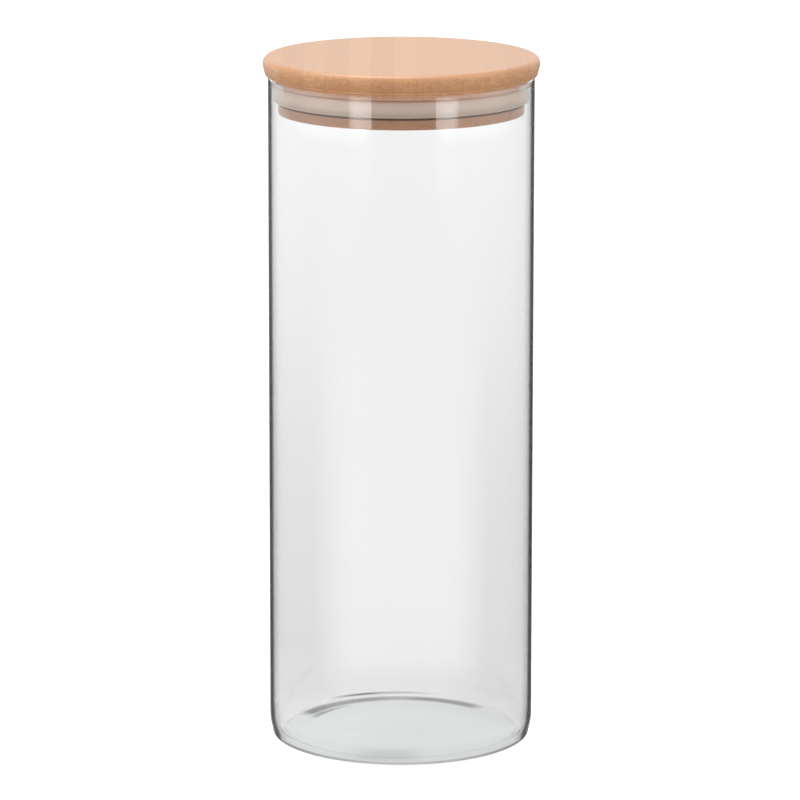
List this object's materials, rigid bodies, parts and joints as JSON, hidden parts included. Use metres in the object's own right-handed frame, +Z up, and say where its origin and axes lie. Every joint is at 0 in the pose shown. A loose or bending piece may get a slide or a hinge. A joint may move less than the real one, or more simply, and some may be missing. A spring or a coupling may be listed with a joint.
{
  "type": "glass storage jar",
  "caption": "Tall cylindrical clear glass storage jar with a round turned bamboo lid and a silicone sealing ring that plugs its mouth.",
  "frame": {"origin": "middle of the flat foot ring that the jar stands on", "axes": "+Z up along the jar's axis, towards the lid; +X and +Y are equal, the bamboo strips run along Y"},
  "size_m": [0.1038, 0.1038, 0.262],
  "materials": {
    "clear_glass": "clear, fire-polished",
    "bamboo": "fine sanded, dull oiled",
    "silicone": "translucent, satin"
  },
  "bodies": {
    "jar": {"glass_body": "clear_glass"},
    "sealing_ring": {"silicone_seal": "silicone"},
    "lid": {"bamboo_lid": "bamboo"}
  },
  "joints": [
    {"name": "lid_lift", "type": "slide", "parent": "jar", "child": "sealing_ring", "axis": [0, 0, 1], "range_m": [0, 0.15]},
    {"name": "lid_turn", "type": "hinge", "parent": "sealing_ring", "child": "lid", "pos_m": [0, 0, 0.2556], "axis": [0, 0, 1], "continuous": true}
  ]
}
